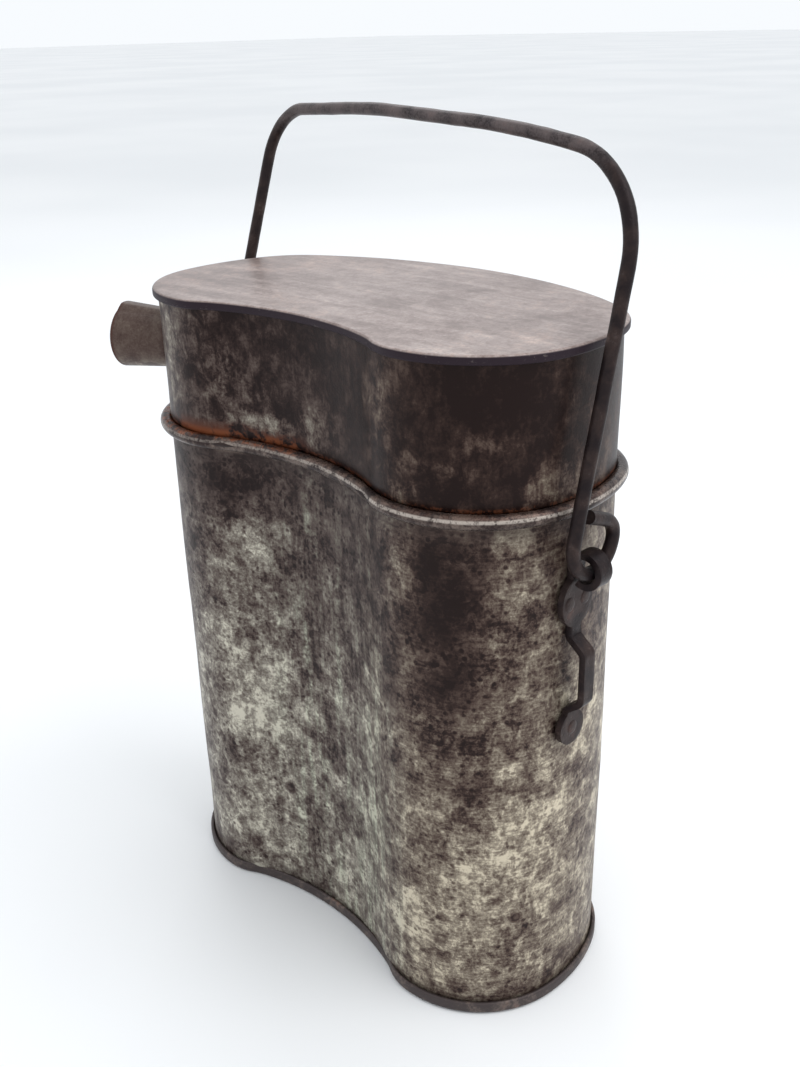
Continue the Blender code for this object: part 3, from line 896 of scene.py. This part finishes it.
class CANTEEN_OT_socket(bpy.types.Operator):
    """Model the lid's stick socket: a tapered tube of rolled sheet with a lapped seam"""

    bl_idname = "canteen.socket"
    bl_label = "Stick Socket"

    def execute(self, context):
        along = Vector((math.cos(SOCKET_ANGLE), math.sin(SOCKET_ANGLE), 0.0))
        across = Vector((-math.sin(SOCKET_ANGLE), math.cos(SOCKET_ANGLE), 0.0))
        centre = Vector((*CORNER, SOCKET_HEIGHT))
        corner_radius = ARCS[1][1]
        once_round = SOCKET_COLUMNS - SOCKET_LAP

        def place(column, row):
            turn = LAP_ANGLE + 2 * math.pi * column / once_round
            share_out = row / (SOCKET_ROWS - 1)
            lift = SOCKET_SHEET * 1.15 * max(0.0, min(1.0, (column - (once_round - 4)) / 5))
            radius = SOCKET_ROOT + (SOCKET_MOUTH - SOCKET_ROOT) * share_out + lift * (0.8 + 0.5 * share_out)
            side = radius * math.cos(turn)
            root = math.sqrt((corner_radius - 0.0002) ** 2 - side**2)
            reach = root + (corner_radius + SOCKET_LENGTH - root) * share_out
            return centre + along * reach + across * side + Vector((0.0, 0.0, radius * math.sin(turn)))

        tube = sheet_grid("stick_tube", SOCKET_COLUMNS, SOCKET_ROWS, place)
        middle = centre + along * (corner_radius + SOCKET_LENGTH / 2)
        face = tube.data.polygons[0]
        if face.normal.dot(face.center - middle) < 0:
            tube.data.flip_normals()
        apply(tube, "SOLIDIFY", thickness=SOCKET_SHEET, offset=-1.0)
        smooth(tube)
        colours = context.scene.canteen_colours
        surface = socket_tin(colours)
        finish(tube, "lid", "blackened_tin", surface, "lid_socket")

        places = []
        for step in range(SOLDER_POINTS):
            turn = 2 * math.pi * step / SOLDER_POINTS
            radius = SOCKET_ROOT + 0.0002
            side = radius * math.cos(turn)
            root = math.sqrt(corner_radius**2 - side**2) + 0.0002
            lift = Vector((0.0, 0.0, radius * math.sin(turn)))
            places.append(centre + along * root + across * side + lift)
        fillet = rod("socket_solder", places, SOLDER_RADIUS, closed=True)
        hammer(fillet, 0.0003, 0.004, 31)
        smooth(fillet)
        finish(fillet, "lid", "blackened_tin", surface)
        return {"FINISHED"}


def loop_points(shoulder, turning):
    """The rod's eye loop from where the arm meets it, on the front for turning 1 and on the back for -1.

    It is round about the hinge, bends in more tightly and then runs straight back to the arm.
    """

    def place(radius, angle, centre=HINGE):
        return Vector((shoulder.x, centre.y + radius * math.cos(angle), centre.z + radius * math.sin(angle)))

    away = Vector((shoulder.y - HINGE.y, shoulder.z - HINGE.z))
    start = math.atan2(away.y, away.x) + turning * math.acos(LOOP_RADIUS / away.length)
    round_to = turning * LOOP_ROUND_TO - math.pi / 2
    sweep = turning * ((turning * (round_to - start)) % (2 * math.pi))
    points = [place(LOOP_RADIUS, start + sweep * step / LOOP_STEPS) for step in range(LOOP_STEPS + 1)]
    end = place(LOOP_END_RADIUS, start + turning * LOOP_TURN)
    hub = place(LOOP_RADIUS - LOOP_BEND, round_to)
    ahead = Vector((end.y - hub.y, end.z - hub.z))
    leave = math.atan2(ahead.y, ahead.x) - turning * math.acos(LOOP_BEND / ahead.length)
    turn = turning * ((turning * (leave - round_to)) % (2 * math.pi))
    for step in range(1, LOOP_BEND_STEPS + 1):
        points.append(place(LOOP_BEND, round_to + turn * step / LOOP_BEND_STEPS, hub))
    return points + closer([points[-1], end], 0.0015)[1:]


class CANTEEN_OT_bail(bpy.types.Operator):
    """Bend the bail from a rod"""

    bl_idname = "canteen.bail"
    bl_label = "Bail"

    def execute(self, context):
        settings = context.scene.canteen_iron
        raised = Vector((0.0, 0.0, CROWN))
        right_loop = loop_points(RIGHT_SHOULDER, 1)
        left_loop = loop_points(LEFT_SHOULDER, -1)
        corners = [
            left_loop[0],
            LEFT_SHOULDER,
            LEFT_SHOULDER.lerp(RIGHT_SHOULDER, CROWN_FROM) + raised,
            LEFT_SHOULDER.lerp(RIGHT_SHOULDER, CROWN_TO) + raised,
            RIGHT_SHOULDER,
            right_loop[0],
        ]
        bent = rounded_path(corners, [LEFT_BEND, CROWN_BEND, CROWN_BEND, RIGHT_BEND], 20)
        path = left_loop[:0:-1] + closer(bent, 0.004) + right_loop[1:]
        piece = rod("bail_rod", path, settings.rod)
        hammer(piece, settings.hammering, 0.006, 41)
        smooth(piece)
        finish(piece, "bail", "rod_iron", dark_iron("rod_iron", context.scene.canteen_colours, 0.35), "bail")
        return {"FINISHED"}


def closer(path, spacing):
    """The same path with points no further apart than a spacing."""
    points = [path[0]]
    for first, second in zip(path, path[1:]):
        parts = max(1, math.ceil((second - first).length / spacing))
        points += [first.lerp(second, part / parts) for part in range(1, parts + 1)]
    return points


def strap_half_width(height):
    """Half the bracket's width: a round foot, a narrow bar, an oval plate and the neck of the eye."""
    foot = FOOT_RADIUS**2 - (height - FOOT_HEIGHT) ** 2
    plate = 1.0 - ((height - PLATE_HEIGHT) / PLATE_HALF_HEIGHT) ** 2
    width = EYE_HALF_WIDTH if height > PLATE_HEIGHT else BAR_HALF_WIDTH
    if height < BAR_LOW and foot > 0:
        width = math.sqrt(foot) if height < FOOT_HEIGHT else max(width, math.sqrt(foot))
    if plate > 0:
        width = max(width, PLATE_HALF_WIDTH * math.sqrt(plate))
    return width


def bracket_path(strap):
    """(outwards, up, half-width) along the middle of the strap, from its foot to the end of the eye."""
    flat = FLAT_X + strap / 2
    out = flat + BAR_STANDOFF
    stations = []
    for step in range(14):
        rise_by = -math.cos(math.radians(12 + 10.5 * step)) * FOOT_RADIUS
        stations.append((flat, FOOT_HEIGHT + rise_by))
    corners = [
        (flat, BAR_LOW - 1.35 * BAR_SLOPE, 0.0),
        (flat, BAR_LOW - BAR_SLOPE, 0.0),
        (out, BAR_LOW, 0.0),
        (out, BAR_HIGH, 0.0),
        (flat, BAR_HIGH + BAR_SLOPE, 0.0),
        (flat, BAR_HIGH + 1.6 * BAR_SLOPE, 0.0),
    ]
    bar = rounded_path(corners, BAR_BENDS, 6)
    stations += [(point.x, point.y) for point in closer(bar, 0.003)]
    for step in range(1, 16):
        rise_by = -math.cos(math.radians(10.5 * step)) * PLATE_HALF_HEIGHT
        stations.append((flat, PLATE_HEIGHT + rise_by))
    before_eye = len(stations)
    stations += arc_section((flat + EYE_RADIUS, EYE_HEIGHT), EYE_RADIUS, 180.0, EYE_END, 36)
    path = []
    for index, (x, z) in enumerate(stations):
        path.append((x, z, EYE_HALF_WIDTH if index >= before_eye else strap_half_width(z)))
    return path


class CANTEEN_OT_brackets(bpy.types.Operator):
    """Forge a bracket for each end"""

    bl_idname = "canteen.brackets"
    bl_label = "Brackets"

    def execute(self, context):
        settings = context.scene.canteen_iron
        surface = dark_iron("forged_iron", context.scene.canteen_colours, 0.30)
        path = bracket_path(settings.strap)
        for label, side in (("right", 1.0), ("left", -1.0)):

            def place(column, row):
                x, z, half = path[row]
                edge = 2 * column / (STRAP_COLUMNS - 1) - 1
                return Vector((side * x, BRACKET_Y + edge * half, z))

            piece = sheet_grid(f"strap_bracket_{label}", STRAP_COLUMNS, len(path), place)
            apply(piece, "SOLIDIFY", thickness=settings.strap, offset=0.0, use_even_offset=True)
            corner = math.radians(60.0)
            apply(piece, "BEVEL", width=STRAP_EDGE, segments=3, limit_method="ANGLE", angle_limit=corner)
            weld(piece)
            hammer(piece, settings.hammering * 1.4, 0.004, 51 + side)
            smooth(piece, 40.0)
            finish(piece, "pot", "forged_iron", surface, f"{label}_bracket")
        return {"FINISHED"}


class CANTEEN_OT_rivets(bpy.types.Operator):
    """Set the rivets of both brackets"""

    bl_idname = "canteen.rivets"
    bl_label = "Rivets"

    def execute(self, context):
        surface = dark_iron("rivet_iron", context.scene.canteen_colours, 0.30)
        head = context.scene.canteen_iron.rivet_head
        for side in ("right", "left"):
            for kind in ("plate_rivet_front", "plate_rivet_back", "foot_rivet"):
                node = f"{side}_{kind}"
                low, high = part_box(node)
                sign = 1.0 if side == "right" else -1.0
                centre = (low + high) / 2
                outer = max(abs(low.x), abs(high.x))
                inner = min(abs(low.x), abs(high.x))
                profile = [(inner, 0.0), (inner + 0.0001, 0.0013), (inner + 0.0006, 0.0025)]
                profile += [(inner + 0.0012, 0.0030), (inner + 0.0012, 0.0014), (outer - 0.0006, 0.0014)]
                outer -= HEAD_FILED
                profile += [(outer - 0.00035, head), (outer - 0.00025, head * 0.94)]
                profile += [(outer - 0.0001, head * 0.7), (outer, head * 0.35), (outer, 0.0)]
                places = [(sign * x, centre.y + radius, centre.z) for x, radius in profile]
                piece = line(f"rivet_{node}", places)
                edit(piece)
                bpy.ops.mesh.select_all(action="SELECT")
                bpy.ops.mesh.spin(steps=28, angle=2 * math.pi, center=centre, axis=(1.0, 0.0, 0.0))
                leave()
                weld(piece)
                smooth(piece)
                finish(piece, "pot", "rivet_iron", surface, node)
        return {"FINISHED"}


class CANTEEN_OT_wire(bpy.types.Operator):
    """Give the wire inside the rim its finish"""

    bl_idname = "canteen.wire"
    bl_label = "Rim Wire"

    def execute(self, context):
        wire = frame["nodes"]["rim_wire"]
        wire.data.materials.clear()
        wire.data.materials.append(dark_iron("wire_iron", context.scene.canteen_colours, 0.5))
        return {"FINISHED"}


class CANTEEN_OT_stage(bpy.types.Operator):
    """Set the floor, the lights and the camera"""

    bl_idname = "canteen.stage"
    bl_label = "Stage"

    def execute(self, context):
        settings = context.scene.canteen_stage
        deselect()
        bpy.ops.mesh.primitive_plane_add(size=FLOOR_SIZE, location=(0.0, 0.0, -FLOOR_DROP))
        floor = named("floor")
        take(floor)
        bpy.ops.object.transform_apply(location=True)
        paint = Paint("pale_floor")
        cloud = paint.cloud(900.0, 2.0, 0.5)
        tone = paint.mix(cloud.ramp(0.3, 0.7), context.scene.canteen_colours.floor, (0.84, 0.85, 0.86))
        floor.data.materials.append(paint.finish(tone, 0.6, 0.0, None))

        world = bpy.data.worlds.new("pale_surround")
        world.use_nodes = True
        sky = world.node_tree.nodes["Background"]
        sky.inputs["Color"].default_value = (0.94, 0.97, 1.0, 1.0)
        sky.inputs["Strength"].default_value = settings.sky
        context.scene.world = world

        lights = (
            ("key", settings.key, 0.9, (0.75, 0.25, 1.25)),
            ("fill", settings.fill, 0.8, (-1.1, -0.6, 0.9)),
            ("back", settings.back, 0.8, (-1.1, 0.8, 1.3)),
        )
        aim = Vector((0.0, 0.0, 0.13))
        for name, power, size, place in lights:
            deselect()
            bpy.ops.object.light_add(type="AREA", location=place)
            light = named(f"{name}_light")
            light.data.energy = power
            light.data.size = size
            light.rotation_euler = (aim - Vector(place)).to_track_quat("-Z", "Y").to_euler()

        bpy.ops.object.camera_add(location=CAMERA_PLACE)
        camera = named("camera")
        turn = Matrix.Rotation(CAMERA_TURN, 4, "Z") @ Matrix.Rotation(CAMERA_TILT, 4, "X")
        camera.rotation_euler = (turn @ Matrix.Rotation(CAMERA_ROLL, 4, "Z")).to_euler()
        camera.data.lens = settings.lens
        camera.data.clip_start = 0.01
        context.scene.camera = camera
        context.scene.view_settings.view_transform = "Standard"
        return {"FINISHED"}


class CANTEEN_PT_panel(bpy.types.Panel):
    """Lists the canteen's sizes, colours and steps"""

    bl_idname = "CANTEEN_PT_panel"
    bl_label = "Field Canteen"
    bl_space_type = "VIEW_3D"
    bl_region_type = "UI"
    bl_category = "Canteen"

    def draw(self, context):
        for title, settings in zip(SETTING_NAMES, SETTING_CLASSES):
            box = self.layout.box()
            group = getattr(context.scene, title)
            for prop in settings.__annotations__:
                box.prop(group, prop)
        for step in STEPS:
            self.layout.operator(step.bl_idname)


SETTING_NAMES = ("canteen_sheet", "canteen_iron", "canteen_colours", "canteen_stage")
SETTING_CLASSES = (CanteenSheetSettings, CanteenIronSettings, CanteenColourSettings, CanteenStageSettings)
STEPS = (
    CANTEEN_OT_stage,
    CANTEEN_OT_pot,
    CANTEEN_OT_base,
    CANTEEN_OT_lid,
    CANTEEN_OT_socket,
    CANTEEN_OT_bail,
    CANTEEN_OT_brackets,
    CANTEEN_OT_rivets,
    CANTEEN_OT_wire,
)


def register():
    for entry in (*SETTING_CLASSES, *STEPS, CANTEEN_PT_panel):
        bpy.utils.register_class(entry)
    for name, settings in zip(SETTING_NAMES, SETTING_CLASSES):
        setattr(bpy.types.Scene, name, bpy.props.PointerProperty(type=settings))


def unregister():
    for name in SETTING_NAMES:
        delattr(bpy.types.Scene, name)
    for entry in reversed((*SETTING_CLASSES, *STEPS, CANTEEN_PT_panel)):
        bpy.utils.unregister_class(entry)


def main():
    register()
    bpy.ops.canteen.stage()
    bpy.ops.canteen.pot()
    bpy.ops.canteen.base()
    bpy.ops.canteen.lid()
    bpy.ops.canteen.socket()
    bpy.ops.canteen.bail()
    bpy.ops.canteen.brackets()
    bpy.ops.canteen.rivets()
    bpy.ops.canteen.wire()


if __name__ == "__main__":
    main()
